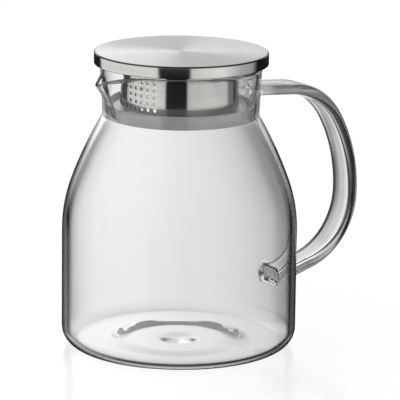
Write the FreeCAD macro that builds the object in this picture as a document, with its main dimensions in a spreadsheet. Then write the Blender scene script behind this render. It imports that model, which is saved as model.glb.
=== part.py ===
import FreeCAD
import Part
import Sketcher
import math
import os

# Glass teapot with a strainer lid. Millimetres and degrees.
# The origin is on the pot's axis at the surface it stands on: +Z up, handle towards +X, spout towards -X.

doc = FreeCAD.newDocument("glass_teapot")

# Driving dimensions
SIZES = [
    # blown glass vessel
    ("body_radius", 70.0),
    ("glass_wall", 3.0),
    ("heel_radius", 11.0),
    ("foot_ring_width", 6.0),
    ("kick_height", 1.5),
    ("side_height", 70.0),
    ("shoulder_radius", 88.0),
    ("shoulder_break_height", 100.0),
    ("shoulder_top_height", 139.4),
    ("neck_length", 29.3),
    ("neck_bottom_radius", 46.25),
    ("rim_radius", 47.8),
    ("rim_polish_radius", 0.7),
    # pulled spout
    ("spout_reach", 60.0),
    ("spout_half_angle", 38.0),
    ("spout_tip_radius", 4.0),
    ("spout_wall", 2.4),
    ("spout_keel_angle", 53.0),
    ("spout_back", 32.0),
    ("spout_dip_start", 36.0),
    ("spout_dip_radius", 56.0),
    ("spout_root_blend", 5.0),
    # drawn glass handle
    ("handle_width", 20.0),
    ("handle_thickness", 7.0),
    ("handle_below_rim", 18.2),
    ("handle_top_fall_angle", 4.4),
    ("handle_top_run", 31.5),
    ("handle_upper_bend_radius", 41.8),
    ("handle_upper_bend_angle", 54.2),
    ("handle_back_radius", 91.0),
    ("handle_back_angle", 32.7),
    ("handle_lower_bend_radius", 43.2),
    ("handle_lower_bend_angle", 72.0),
    ("handle_weld_flare", 3.0),
    ("handle_weld_length", 9.0),
    # stainless lid
    ("lid_radius", 51.5),
    ("lid_height", 7.2),
    ("lid_edge_radius", 1.2),
    ("lid_sheet", 0.8),
    ("lid_vent_gap", 1.5),
    ("underplate_sheet", 0.6),
    ("underplate_recess", 0.4),
    ("underplate_rim", 3.0),
    ("press_gap", 0.05),
    # strainer and its seal
    ("sleeve_radius", 34.2),
    ("sleeve_sheet", 0.6),
    ("sleeve_flange_width", 4.0),
    ("sleeve_lip_width", 1.2),
    ("hole_diameter", 2.3),
    ("hole_row_pitch", 3.95),
    ("hole_column_angle", 7.5),
    ("hole_above_seal", 0.8),
    ("seal_height", 8.4),
    ("seal_below_neck", 1.0),
    ("seal_lip_height", 3.0),
    ("seal_lip_width", 1.2),
    ("seal_collar_width", 4.4),
    ("seal_neck_gap", 0.2),
    ("turning_gap", 0.05),
    ("lip_gap", 0.15),
]
HOLE_ROWS = 5
HOLE_COLUMNS = 9

sheet = doc.addObject("Spreadsheet::Sheet", "Sizes")
for row, (alias, size) in enumerate(SIZES, start=1):
    sheet.set(f"A{row}", alias)
    sheet.set(f"B{row}", str(size))
    sheet.setAlias(f"B{row}", alias)
doc.recompute()

# Heights and radii that several pieces share, written as formulas over the sheet
RIM_HEIGHT = "(Sizes.shoulder_top_height + Sizes.neck_length)"
NECK_TAPER = "((Sizes.rim_radius - Sizes.neck_bottom_radius) / Sizes.neck_length)"
LIP_RUN = "(Sizes.spout_reach - Sizes.spout_dip_start)"
LIP_FALL = f"(Sizes.spout_dip_radius - sqrt(Sizes.spout_dip_radius ^ 2 - {LIP_RUN} ^ 2))"
SEAL_BOTTOM = "(Sizes.shoulder_top_height - Sizes.seal_below_neck)"
SEAL_TOP = f"({SEAL_BOTTOM} + Sizes.seal_height)"
SKIRT_BOTTOM = f"({RIM_HEIGHT} + Sizes.lid_vent_gap)"
LID_TOP = f"({SKIRT_BOTTOM} + Sizes.lid_height)"
PLATE_BOTTOM = f"({SKIRT_BOTTOM} + Sizes.underplate_recess)"
NECK_INNER = "(Sizes.neck_bottom_radius - Sizes.glass_wall)"
HEEL_START = "(Sizes.body_radius - Sizes.heel_radius)"
FOOT_INNER = f"({HEEL_START} - Sizes.foot_ring_width)"


def number(formula):
    """Present value of a formula over the sheet."""
    return float(sheet.evalExpression(formula))


def new_sketch(body, name, role, offset=None):
    """Sketch on one of the body's own planes, moved along the plane's normal by a formula."""
    sketch = body.newObject("Sketcher::SketchObject", name)
    plane = [feature for feature in body.Origin.OriginFeatures if feature.Role == role][0]
    sketch.AttachmentSupport = [(plane, "")]
    sketch.MapMode = "FlatFace"
    if offset:
        sketch.setExpression("AttachmentOffset.Base.z", offset)
    return sketch


# Names that the sketches use for their own origin, axes and the ends of an edge
ORIGIN = (-1, 1)
AXES = {"DistanceX": -2, "DistanceY": -1}
FIRST_END, SECOND_END, CENTRE = range(1, 4)


def set_size(sketch, kind, places, formula):
    """Dimension of a sketch, bound to a formula over the sheet."""
    value = number(formula)
    if kind == "Angle":
        value = math.radians(value)
    index = sketch.addConstraint(Sketcher.Constraint(kind, *places, value))
    sketch.setExpression(f"Constraints[{index}]", formula)


def pin(sketch, kind, edge, end, formula):
    """Hold one coordinate of a point at a formula: on the axis, or that far to one side of it."""
    value = number(formula)
    if abs(value) < 1e-9:
        sketch.addConstraint(Sketcher.Constraint("PointOnObject", edge, end, AXES[kind]))
    elif value > 0:
        set_size(sketch, kind, (*ORIGIN, edge, end), formula)
    else:
        set_size(sketch, kind, (edge, end, *ORIGIN), f"-({formula})")


def arc_between(start, stop, radius):
    """Arc of less than a half turn. A positive radius has its centre to the left of the way travelled."""
    chord = stop - start
    left = FreeCAD.Vector(-chord.y, chord.x, 0).normalize()
    rise = math.sqrt(max(radius**2 - (chord.Length / 2) ** 2, 0))
    centre = (start + stop) / 2 + left * math.copysign(rise, radius)
    crown = centre - left * radius
    return Part.Arc(start, crown, stop), centre


def outline(sketch, corners, arcs=None):
    """Closed outline through corners, which are pairs of formulas measured from the sketch's origin.

    An edge is straight unless arcs holds its place in the outline. The value there is its signed radius,
    as in arc_between, or the word tangent for an arc that carries on smoothly from the edge before it.
    """
    arcs = arcs or {}
    points = [FreeCAD.Vector(number(x), number(y), 0) for x, y in corners]
    edges = []
    heading = None
    for place, start in enumerate(points):
        stop = points[(place + 1) % len(points)]
        chord = stop - start
        bend = arcs.get(place)
        if bend is None:
            edge = sketch.addGeometry(Part.LineSegment(start, stop))
            heading = chord
        else:
            if bend == "tangent":
                left = FreeCAD.Vector(-heading.y, heading.x, 0).normalize()
                radius = chord.dot(chord) / (2 * chord.dot(left))
            else:
                radius = number(bend)
            curve, centre = arc_between(start, stop, radius)
            edge = sketch.addGeometry(curve)
            spoke = stop - centre
            heading = FreeCAD.Vector(-spoke.y, spoke.x, 0) * math.copysign(1, radius)
        forwards = sketch.getPoint(edge, FIRST_END).distanceToPoint(start) < 1e-6
        edges.append((edge, FIRST_END, SECOND_END) if forwards else (edge, SECOND_END, FIRST_END))
    for place, (x, y) in enumerate(corners):
        edge, tail, _ = edges[place]
        before, _, head = edges[place - 1]
        kind = "Tangent" if arcs.get(place) == "tangent" else "Coincident"
        sketch.addConstraint(Sketcher.Constraint(kind, before, head, edge, tail))
        pin(sketch, "DistanceX", edge, tail, x)
        pin(sketch, "DistanceY", edge, tail, y)
    for place, bend in arcs.items():
        if bend != "tangent":
            set_size(sketch, "Radius", (edges[place][0],), f"abs({bend})")
    doc.recompute()


def revolved(body, name, corners, arcs=None, kind="PartDesign::Revolution"):
    """Turn an outline of radii and heights once round the pot's axis."""
    sketch = new_sketch(body, name + "_outline", "XZ_Plane")
    outline(sketch, corners, arcs)
    feature = body.newObject(kind, name)
    feature.Profile = sketch
    feature.ReferenceAxis = (sketch, ["V_Axis"])
    feature.Angle = 360.0
    doc.recompute()
    return feature


# Glass body: the outside is revolved and the spout added, then the inside and the channel are taken out
glass_body = doc.addObject("PartDesign::Body", "glass_body")

SHOULDER_TURN = "((Sizes.shoulder_break_height - Sizes.side_height) / Sizes.shoulder_radius)"
SHOULDER_CENTRE = "(Sizes.body_radius - Sizes.shoulder_radius)"
KICK_RADIUS = f"(({FOOT_INNER} ^ 2 + Sizes.kick_height ^ 2) / (2 * Sizes.kick_height))"


def shoulder_break(inset):
    """Where the two arcs of the shoulder meet, on a wall that lies inset from the outside."""
    reach = f"(Sizes.shoulder_radius - {inset})"
    across = f"{SHOULDER_CENTRE} + {reach} * sqrt(1 - {SHOULDER_TURN} ^ 2)"
    up = f"Sizes.side_height + {reach} * {SHOULDER_TURN}"
    return across, up


revolved(
    glass_body,
    "vessel_outside",
    [
        ("0", "Sizes.kick_height"),
        (FOOT_INNER, "0"),
        (HEEL_START, "0"),
        ("Sizes.body_radius", "Sizes.heel_radius"),
        ("Sizes.body_radius", "Sizes.side_height"),
        shoulder_break("0"),
        ("Sizes.neck_bottom_radius", "Sizes.shoulder_top_height"),
        ("Sizes.rim_radius", RIM_HEIGHT),
        ("0", RIM_HEIGHT),
    ],
    {0: f"-{KICK_RADIUS}", 2: "Sizes.heel_radius", 4: "Sizes.shoulder_radius", 5: "tangent"},
)


ROOT_HEIGHT = "Sizes.shoulder_top_height"


def spout_section(name, height, inset):
    """Plan of the spout at a height: a V with a round nose, drawn inset from its outside.

    The nose moves back along the keel as the height falls, until the spout has sunk into the neck.
    """
    sketch = new_sketch(glass_body, name, "XY_Plane", height)
    fall = f"({RIM_HEIGHT} - {LIP_FALL} - ({height}))"
    nose_radius = f"(Sizes.spout_tip_radius - {inset})"
    setback = f"({fall} / tan(Sizes.spout_keel_angle * 1 deg))"
    nose_centre = f"(Sizes.spout_tip_radius - Sizes.spout_reach + {setback})"
    nose_x = f"{nose_centre} - {nose_radius} * sin(Sizes.spout_half_angle * 1 deg)"
    nose_y = f"{nose_radius} * cos(Sizes.spout_half_angle * 1 deg)"
    back_x = "-Sizes.spout_back"
    back_y = f"({nose_y} + (-Sizes.spout_back - ({nose_x})) * tan(Sizes.spout_half_angle * 1 deg))"
    outline(
        sketch,
        [(back_x, back_y), (nose_x, nose_y), (nose_x, f"-({nose_y})"), (back_x, f"-{back_y}")],
        {1: nose_radius},
    )
    return sketch


def spout_loft(kind, name, inset):
    """Sloping prism between the spout's plan at the foot of the neck and its plan at the rim."""
    low = spout_section(name + "_low", ROOT_HEIGHT, inset)
    high = spout_section(name + "_high", RIM_HEIGHT, inset)
    feature = glass_body.newObject(kind, name)
    feature.Profile = low
    feature.Sections = [high]
    feature.Ruled = True
    doc.recompute()
    return feature


spout_loft("PartDesign::AdditiveLoft", "spout_outside", "0")

NECK_CORNER_DROP = "(Sizes.glass_wall / 4)"
revolved(
    glass_body,
    "vessel_inside",
    [
        ("0", "Sizes.kick_height + Sizes.glass_wall"),
        (FOOT_INNER, "Sizes.glass_wall"),
        (HEEL_START, "Sizes.glass_wall"),
        ("Sizes.body_radius - Sizes.glass_wall", "Sizes.heel_radius"),
        ("Sizes.body_radius - Sizes.glass_wall", "Sizes.side_height"),
        shoulder_break("Sizes.glass_wall"),
        (NECK_INNER, f"Sizes.shoulder_top_height - {NECK_CORNER_DROP}"),
        ("Sizes.rim_radius - Sizes.glass_wall", RIM_HEIGHT),
        ("0", RIM_HEIGHT),
    ],
    {
        0: f"-{KICK_RADIUS}",
        2: "Sizes.heel_radius - Sizes.glass_wall",
        4: "Sizes.shoulder_radius - Sizes.glass_wall",
        5: "tangent",
    },
    "PartDesign::Groove",
)
spout_loft("PartDesign::SubtractiveLoft", "spout_channel", "Sizes.spout_wall")

# The lip falls away from the rim in an arc towards the spout's tip
LIP_END = "(Sizes.spout_reach + 2 * Sizes.spout_tip_radius)"
LIP_END_RUN = f"({LIP_END} - Sizes.spout_dip_start)"
LIP_END_FALL = f"(Sizes.spout_dip_radius - sqrt(Sizes.spout_dip_radius ^ 2 - {LIP_END_RUN} ^ 2))"
lip_sketch = new_sketch(glass_body, "lip_fall_outline", "XZ_Plane")
outline(
    lip_sketch,
    [
        ("-Sizes.spout_dip_start", RIM_HEIGHT),
        (f"-{LIP_END}", f"{RIM_HEIGHT} - {LIP_END_FALL}"),
        (f"-{LIP_END}", RIM_HEIGHT),
    ],
    {0: "Sizes.spout_dip_radius"},
)
lip_fall = glass_body.newObject("PartDesign::Pocket", "lip_fall")
lip_fall.Profile = lip_sketch
lip_fall.Midplane = True
lip_fall.setExpression("Length", "4 * Sizes.rim_radius")
doc.recompute()


def numbered(shape, chosen):
    """Names of the shape's edges that are in a list of chosen edges."""
    return [
        f"Edge{place}"
        for place, edge in enumerate(shape.Edges, start=1)
        if any(edge.isSame(other) for other in chosen)
    ]


def rounded(body, name, base, chosen, radius):
    """Fillet on chosen edges of the feature before it."""
    feature = body.newObject("PartDesign::Fillet", name)
    feature.Base = (base, numbered(base.Shape, chosen))
    feature.setExpression("Radius", radius)
    doc.recompute()
    return feature


def is_spout_root(edge):
    """Edge where the spout's wall turns into the neck's wall, outside or inside."""
    box = edge.BoundBox
    on_spout_side = box.XMax < -number("Sizes.spout_back")
    rises = box.ZMin > number(ROOT_HEIGHT) and box.ZLength > number("Sizes.rim_polish_radius")
    reaches_root = box.ZMin < number(f"{RIM_HEIGHT} - {LIP_END_FALL}")
    along_nose = box.YLength < 1e-3
    return on_spout_side and rises and reaches_root and not along_nose


def rim_edges(shape):
    """Edges round the flat rim and the falling lip, without the ones that those faces share."""
    lowest = number(f"{RIM_HEIGHT} - {LIP_END_FALL}")
    lip_height = number(LIP_END_FALL)
    tops = [f for f in shape.Faces if f.BoundBox.ZMin > lowest and f.BoundBox.ZLength < lip_height]
    edges = [edge for face in tops for edge in face.Edges]
    return [edge for edge in edges if sum(edge.isSame(other) for other in edges) == 1]


root_edges = [edge for edge in lip_fall.Shape.Edges if is_spout_root(edge)]
root_blend = rounded(glass_body, "spout_root_blend", lip_fall, root_edges, "Sizes.spout_root_blend")
RIM_POLISH = "min(Sizes.rim_polish_radius; 0.3 * Sizes.spout_wall)"
rounded(glass_body, "rim_polish", root_blend, rim_edges(root_blend.Shape), RIM_POLISH)

# Glass handle: a flat ribbon bent to a D, its ends swelling where they were fused to the neck and the belly
handle_ribbon = doc.addObject("PartDesign::Body", "handle_ribbon")

HANDLE_HEIGHT = f"({RIM_HEIGHT} - Sizes.handle_below_rim)"
NECK_AT_HANDLE = f"(Sizes.rim_radius - {NECK_TAPER} * Sizes.handle_below_rim)"
HANDLE_START = f"({NECK_AT_HANDLE} - Sizes.glass_wall / 2)"
HANDLE_END = "(Sizes.body_radius - Sizes.glass_wall / 2)"
BENDS = [
    ("Sizes.handle_upper_bend_radius", "Sizes.handle_upper_bend_angle"),
    ("Sizes.handle_back_radius", "Sizes.handle_back_angle"),
    ("Sizes.handle_lower_bend_radius", "Sizes.handle_lower_bend_angle"),
]


def unit(angle):
    """Direction in a sketch at an angle from its first axis."""
    return FreeCAD.Vector(math.cos(angle), math.sin(angle), 0)


def handle_path(sketch):
    """Middle line of the ribbon: out of the neck, round three tangent bends and back to the belly."""
    angle = -math.radians(number("Sizes.handle_top_fall_angle"))
    spot = FreeCAD.Vector(number(HANDLE_START), number(HANDLE_HEIGHT), 0)
    after = spot + unit(angle) * number("Sizes.handle_top_run")
    edges = [sketch.addGeometry(Part.LineSegment(spot, after))]
    tails, heads = [FIRST_END], [SECOND_END]
    spot = after
    for radius_size, angle_size in BENDS:
        radius, turn = number(radius_size), math.radians(number(angle_size))
        centre = spot + unit(angle - math.pi / 2) * radius
        middle = centre + unit(angle + math.pi / 2 - turn / 2) * radius
        angle -= turn
        after = centre + unit(angle + math.pi / 2) * radius
        edges.append(sketch.addGeometry(Part.Arc(spot, middle, after)))
        tails.append(SECOND_END)
        heads.append(FIRST_END)
        spot = after
    last_run = (number(HANDLE_END) - spot.x) / math.cos(angle)
    edges.append(sketch.addGeometry(Part.LineSegment(spot, spot + unit(angle) * last_run)))
    tails.append(FIRST_END)
    heads.append(SECOND_END)

    pin(sketch, "DistanceX", edges[0], FIRST_END, HANDLE_START)
    pin(sketch, "DistanceY", edges[0], FIRST_END, HANDLE_HEIGHT)
    set_size(sketch, "Distance", (edges[0],), "Sizes.handle_top_run")
    set_size(sketch, "Angle", (edges[0],), "-Sizes.handle_top_fall_angle")
    for place in range(1, len(edges)):
        before, here = edges[place - 1], edges[place]
        sketch.addConstraint(Sketcher.Constraint("Tangent", before, heads[place - 1], here, tails[place]))
    for edge, (radius_size, angle_size) in zip(edges[1:], BENDS):
        set_size(sketch, "Radius", (edge,), radius_size)
        set_size(sketch, "Angle", (edge,), angle_size)
    pin(sketch, "DistanceX", edges[-1], SECOND_END, HANDLE_END)
    doc.recompute()


handle_line = new_sketch(handle_ribbon, "handle_line", "XZ_Plane")
handle_path(handle_line)


def ribbon_section(name, edge, along, offset, flare):
    """Rounded flat section of the ribbon, square to one edge of its middle line and swollen by a formula."""
    sketch = handle_ribbon.newObject("Sketcher::SketchObject", name)
    sketch.AttachmentSupport = [(handle_line, edge)]
    sketch.MapMode = "NormalToEdge"
    sketch.MapPathParameter = along
    sketch.setExpression("AttachmentOffset.Base.z", offset)
    half_thickness = f"((Sizes.handle_thickness + {flare}) / 2)"
    half_flat = f"((Sizes.handle_width + {flare}) / 2 - {half_thickness})"
    outline(
        sketch,
        [
            (f"-{half_flat}", f"-{half_thickness}"),
            (half_flat, f"-{half_thickness}"),
            (half_flat, half_thickness),
            (f"-{half_flat}", half_thickness),
        ],
        {1: "tangent", 3: "tangent"},
    )
    return sketch


PATH_EDGES = [f"Edge{place}" for place in range(1, len(BENDS) + 3)]
bent_ribbon = handle_ribbon.newObject("PartDesign::AdditivePipe", "bent_ribbon")
bent_ribbon.Profile = ribbon_section("ribbon_section", PATH_EDGES[0], 0.0, "0", "0")
bent_ribbon.Spine = (handle_line, PATH_EDGES)
doc.recompute()

WELD_LENGTH = "Sizes.handle_weld_length"
for name, edge, along, back in (
    ("neck_weld", PATH_EDGES[0], 0.0, f"-{WELD_LENGTH}"),
    ("belly_weld", PATH_EDGES[-1], 1.0, WELD_LENGTH),
):
    weld = handle_ribbon.newObject("PartDesign::AdditiveLoft", name)
    weld.Profile = ribbon_section(name + "_foot", edge, along, "0", "Sizes.handle_weld_flare")
    weld.Sections = [ribbon_section(name + "_end", edge, along, back, "0")]
    weld.Ruled = True
    doc.recompute()

glass_handle = doc.addObject("Part::Cut", "glass_handle")
glass_handle.Base = handle_ribbon
glass_handle.Tool = glass_body
doc.recompute()

# Lid cap: drawn disc with a rounded edge and a short skirt
lid_cap = doc.addObject("PartDesign::Body", "lid_cap")
CAP_INSIDE = "(Sizes.lid_radius - Sizes.lid_sheet)"
CAP_UNDERSIDE = f"({LID_TOP} - Sizes.lid_sheet)"
EDGE_START = "Sizes.lid_radius - Sizes.lid_edge_radius"
EDGE_HEIGHT = f"{LID_TOP} - Sizes.lid_edge_radius"
revolved(
    lid_cap,
    "drawn_cap",
    [
        ("0", CAP_UNDERSIDE),
        (EDGE_START, CAP_UNDERSIDE),
        (CAP_INSIDE, EDGE_HEIGHT),
        (CAP_INSIDE, SKIRT_BOTTOM),
        ("Sizes.lid_radius", SKIRT_BOTTOM),
        ("Sizes.lid_radius", EDGE_HEIGHT),
        (EDGE_START, LID_TOP),
        ("0", LID_TOP),
    ],
    {1: "Sizes.lid_sheet - Sizes.lid_edge_radius", 5: "Sizes.lid_edge_radius"},
)

# Underplate: shallow pan pressed into the cap
lid_underplate = doc.addObject("PartDesign::Body", "lid_underplate")
PAN_RADIUS = f"({CAP_INSIDE} - Sizes.press_gap)"
revolved(
    lid_underplate,
    "drawn_pan",
    [
        ("0", PLATE_BOTTOM),
        (PAN_RADIUS, PLATE_BOTTOM),
        (PAN_RADIUS, f"{PLATE_BOTTOM} + Sizes.underplate_rim"),
        (f"{PAN_RADIUS} - Sizes.underplate_sheet", f"{PLATE_BOTTOM} + Sizes.underplate_rim"),
        (f"{PAN_RADIUS} - Sizes.underplate_sheet", f"{PLATE_BOTTOM} + Sizes.underplate_sheet"),
        ("0", f"{PLATE_BOTTOM} + Sizes.underplate_sheet"),
    ],
)

# Strainer sleeve: flanged tube with a turned lip below, perforated on the spout side
strainer_sleeve = doc.addObject("PartDesign::Body", "strainer_sleeve")
SLEEVE_BORE = "(Sizes.sleeve_radius - Sizes.sleeve_sheet)"
SLEEVE_BOTTOM = f"({SEAL_BOTTOM} - Sizes.lip_gap - Sizes.sleeve_sheet)"
SLEEVE_LIP = "Sizes.sleeve_radius + Sizes.sleeve_lip_width"
SLEEVE_FLANGE = "Sizes.sleeve_radius + Sizes.sleeve_flange_width"
revolved(
    strainer_sleeve,
    "flanged_tube",
    [
        (SLEEVE_BORE, SLEEVE_BOTTOM),
        (SLEEVE_LIP, SLEEVE_BOTTOM),
        (SLEEVE_LIP, f"{SLEEVE_BOTTOM} + Sizes.sleeve_sheet"),
        ("Sizes.sleeve_radius", f"{SLEEVE_BOTTOM} + Sizes.sleeve_sheet"),
        ("Sizes.sleeve_radius", f"{PLATE_BOTTOM} - Sizes.sleeve_sheet"),
        (SLEEVE_FLANGE, f"{PLATE_BOTTOM} - Sizes.sleeve_sheet"),
        (SLEEVE_FLANGE, PLATE_BOTTOM),
        (SLEEVE_BORE, PLATE_BOTTOM),
    ],
)

# One upright column of holes, at one side of the field, then copied round the sleeve
column_sketch = new_sketch(strainer_sleeve, "hole_column_outline", "YZ_Plane")
FIELD_ANGLE = f"({HOLE_COLUMNS - 1} * Sizes.hole_column_angle)"
column_sketch.AttachmentOffset = FreeCAD.Placement(
    FreeCAD.Vector(0, 0, 0), FreeCAD.Rotation(FreeCAD.Vector(0, 1, 0), -number(FIELD_ANGLE) / 2)
)
column_sketch.setExpression("AttachmentOffset.Rotation.Angle", f"-{FIELD_ANGLE} / 2")
for row in range(HOLE_ROWS):
    row_height = f"{SEAL_TOP} + Sizes.hole_above_seal + {row} * Sizes.hole_row_pitch"
    centre = FreeCAD.Vector(0, number(row_height), 0)
    radius = number("Sizes.hole_diameter") / 2
    hole = column_sketch.addGeometry(Part.Circle(centre, FreeCAD.Vector(0, 0, 1), radius))
    pin(column_sketch, "DistanceX", hole, CENTRE, "0")
    pin(column_sketch, "DistanceY", hole, CENTRE, row_height)
    set_size(column_sketch, "Diameter", (hole,), "Sizes.hole_diameter")
doc.recompute()
hole_column = strainer_sleeve.newObject("PartDesign::Pocket", "hole_column")
hole_column.Profile = column_sketch
hole_column.setExpression("Length", "2 * Sizes.sleeve_radius")
doc.recompute()
hole_field = strainer_sleeve.newObject("PartDesign::PolarPattern", "hole_field")
hole_field.Originals = [hole_column]
hole_field.Axis = ([f for f in strainer_sleeve.Origin.OriginFeatures if f.Role == "Z_Axis"][0], [""])
hole_field.Occurrences = HOLE_COLUMNS
hole_field.setExpression("Angle", FIELD_ANGLE)
strainer_sleeve.Tip = hole_field
doc.recompute()

# Silicone seal: ring with a raised outer lip, tapered to follow the inside of the neck
silicone_seal = doc.addObject("PartDesign::Body", "silicone_seal")
SEAL_BORE = "(Sizes.sleeve_radius + Sizes.turning_gap)"
SEAL_FOOT = f"({NECK_INNER} - Sizes.seal_neck_gap)"
SEAL_RISE = f"(Sizes.seal_height - Sizes.seal_below_neck + {NECK_CORNER_DROP})"
NECK_INNER_TAPER = f"(Sizes.rim_radius - Sizes.neck_bottom_radius) / (Sizes.neck_length + {NECK_CORNER_DROP})"
SEAL_MOUTH = f"({SEAL_FOOT} + {NECK_INNER_TAPER} * {SEAL_RISE})"
SEAL_FLOOR = f"({SEAL_TOP} - Sizes.seal_lip_height)"
revolved(
    silicone_seal,
    "moulded_ring",
    [
        (SEAL_BORE, SEAL_BOTTOM),
        (SEAL_FOOT, SEAL_BOTTOM),
        (SEAL_MOUTH, SEAL_TOP),
        (f"{SEAL_MOUTH} - Sizes.seal_lip_width", SEAL_TOP),
        (f"{SEAL_BORE} + Sizes.seal_collar_width", SEAL_FLOOR),
        (SEAL_BORE, SEAL_FLOOR),
    ],
)

# Every piece is checked before any is written
PIECES = [glass_body, glass_handle, lid_cap, lid_underplate, strainer_sleeve, silicone_seal]
doc.recompute()
for item in doc.Objects:
    if "Invalid" in item.State or "Error" in item.State:
        raise RuntimeError(f"{item.Label} failed: {item.getStatusString()}")
for piece in PIECES:
    if piece.Shape.isNull() or not piece.Shape.isValid() or len(piece.Shape.Solids) != 1:
        raise RuntimeError(f"{piece.Label} is not one sound solid")

os.makedirs("parts", exist_ok=True)
for piece in PIECES:
    piece.Shape.exportStep(f"parts/{piece.Label}.step")
    print(piece.Label, round(piece.Shape.Volume), "cubic millimetres")
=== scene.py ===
# %% [markdown]
# A glass teapot with a strainer lid
#
# The pot is a blown glass shell with a pulled spout and a ribbon handle. A brushed steel lid carries a
# perforated sleeve that holds the leaves back, and a silicone ring seals the sleeve in the neck. The
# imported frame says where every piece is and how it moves. This lesson gives each piece its final
# surface, one piece and one finish at a time.

# %% Load the frame
import math

import bmesh
import bpy
import numpy as np
from mathutils import Matrix, Vector


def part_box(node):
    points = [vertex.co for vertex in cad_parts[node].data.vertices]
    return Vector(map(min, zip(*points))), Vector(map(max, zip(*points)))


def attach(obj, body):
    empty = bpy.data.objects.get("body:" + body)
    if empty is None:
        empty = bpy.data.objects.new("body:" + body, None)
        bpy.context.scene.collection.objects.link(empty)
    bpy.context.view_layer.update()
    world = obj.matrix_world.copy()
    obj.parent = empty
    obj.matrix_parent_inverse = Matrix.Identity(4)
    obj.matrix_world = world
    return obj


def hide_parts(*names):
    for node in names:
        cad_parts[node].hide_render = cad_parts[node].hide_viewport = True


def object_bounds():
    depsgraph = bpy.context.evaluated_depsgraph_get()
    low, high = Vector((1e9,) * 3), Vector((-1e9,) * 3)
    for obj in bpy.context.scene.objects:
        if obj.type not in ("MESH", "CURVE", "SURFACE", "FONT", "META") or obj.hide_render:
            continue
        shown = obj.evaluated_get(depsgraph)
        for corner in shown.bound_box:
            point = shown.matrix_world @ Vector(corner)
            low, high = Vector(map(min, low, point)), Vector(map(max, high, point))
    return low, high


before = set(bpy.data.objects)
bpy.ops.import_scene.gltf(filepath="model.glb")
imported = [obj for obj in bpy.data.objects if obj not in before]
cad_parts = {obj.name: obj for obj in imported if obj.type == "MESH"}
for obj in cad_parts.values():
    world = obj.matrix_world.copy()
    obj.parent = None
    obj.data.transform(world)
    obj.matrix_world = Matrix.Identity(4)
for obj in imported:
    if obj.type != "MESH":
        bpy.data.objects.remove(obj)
cad_low, cad_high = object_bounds()
MM = 0.001
print("pieces in the frame:", sorted(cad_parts))
print("size in millimetres:", [round(side / MM, 1) for side in cad_high - cad_low])

# %% [markdown]
# The camera
#
# A product photographer stands well back and uses a long lens, so that the pot's sides stay upright and
# its rings stay flat ellipses. The camera looks down a little, with the spout to the left and towards
# it and the handle to the right. Its place could be found by trial. Here it is worked out once from the
# pot's outline and written as real sizes.

# %% Place the camera
VIEW_TURN = math.radians(34.3)
VIEW_FALL = math.radians(13.36)
VIEW_ROLL = math.radians(0.746)
CAMERA_PLACE = Vector((-0.9691, -1.4419, 0.5000))
FOCAL_LENGTH = 270.35

camera = bpy.data.objects.new("studio_camera", bpy.data.cameras.new("studio_camera"))
camera.data.lens = FOCAL_LENGTH
turn = Matrix.Rotation(-VIEW_TURN, 4, "Z")
tilt = Matrix.Rotation(math.pi / 2 - VIEW_FALL, 4, "X")
roll = Matrix.Rotation(VIEW_ROLL, 4, "Z")
camera.matrix_world = Matrix.Translation(CAMERA_PLACE) @ turn @ tilt @ roll
bpy.context.scene.collection.objects.link(camera)
bpy.context.scene.camera = camera
print("camera to pot in metres:", round((CAMERA_PLACE - (cad_low + cad_high) / 2).length, 3))

# %% [markdown]
# Helpers
#
# Every material here is a small tree of nodes, and most trees need the same few kinds: sums, ranges,
# mixes and ramps. They could be made and linked one by one each time. A helper for each kind keeps the
# recipes short, so that a recipe reads as what it does to the surface.

# %% Helpers for node trees
CLEAR_WHITE = (1.0, 1.0, 1.0, 1.0)


def add_node(tree, kind, **settings):
    """New node of a tree, with its settings."""
    node = tree.nodes.new(kind)
    for name, value in settings.items():
        setattr(node, name, value)
    return node


def feed(tree, socket, value):
    """Give a socket its value: a link from another node's output, or a constant."""
    if isinstance(value, bpy.types.NodeSocket):
        tree.links.new(value, socket)
    else:
        socket.default_value = value


def feed_all(tree, node, values):
    """Give a node's inputs their values by name."""
    for name, value in values.items():
        feed(tree, node.inputs[name], value)


def math_node(tree, operation, *values):
    """Math node on sockets or numbers. Gives back its output."""
    node = add_node(tree, "ShaderNodeMath", operation=operation)
    for socket, value in zip(node.inputs, values):
        feed(tree, socket, value)
    return node.outputs[0]


def split_node(tree, vector):
    """X, Y and Z of a vector."""
    node = add_node(tree, "ShaderNodeSeparateXYZ")
    tree.links.new(vector, node.inputs[0])
    return [node.outputs[axis] for axis in "XYZ"]


def range_node(tree, value, start, stop, low=0.0, high=1.0):
    """A value that goes from low to high while another goes from start to stop."""
    node = add_node(tree, "ShaderNodeMapRange")
    ends = {"From Min": start, "From Max": stop, "To Min": low, "To Max": high}
    feed_all(tree, node, {"Value": value, **ends})
    return node.outputs["Result"]


def mix_node(tree, factor, first, second, blend_type="MIX"):
    """A colour mixed from two colours."""
    node = add_node(tree, "ShaderNodeMix", data_type="RGBA", blend_type=blend_type)
    feed_all(tree, node, {"Factor": factor, "A": first, "B": second})
    return node.outputs["Result"]


def ramp_node(tree, factor, stops):
    """Colour ramp in greys. Stops are pairs of place and brightness."""
    ramp = add_node(tree, "ShaderNodeValToRGB")
    while len(ramp.color_ramp.elements) < len(stops):
        ramp.color_ramp.elements.new(1.0)
    for element, (place, level) in zip(ramp.color_ramp.elements, stops):
        element.position = place
        element.color = (level, level, level, 1.0)
    tree.links.new(factor, ramp.inputs[0])
    return ramp.outputs[0]


def bump_node(tree, height, strength, depth):
    """Normals tilted by a height. The depth is in millimetres."""
    bump = add_node(tree, "ShaderNodeBump")
    feed_all(tree, bump, {"Height": height, "Strength": strength, "Distance": depth * MM})
    return bump.outputs["Normal"]


def new_material(name):
    """Empty material. Gives back the material, its tree and its output node."""
    material = bpy.data.materials.new(name)
    material.use_nodes = True
    material.node_tree.nodes.clear()
    output = add_node(material.node_tree, "ShaderNodeOutputMaterial")
    return material, material.node_tree, output


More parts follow.
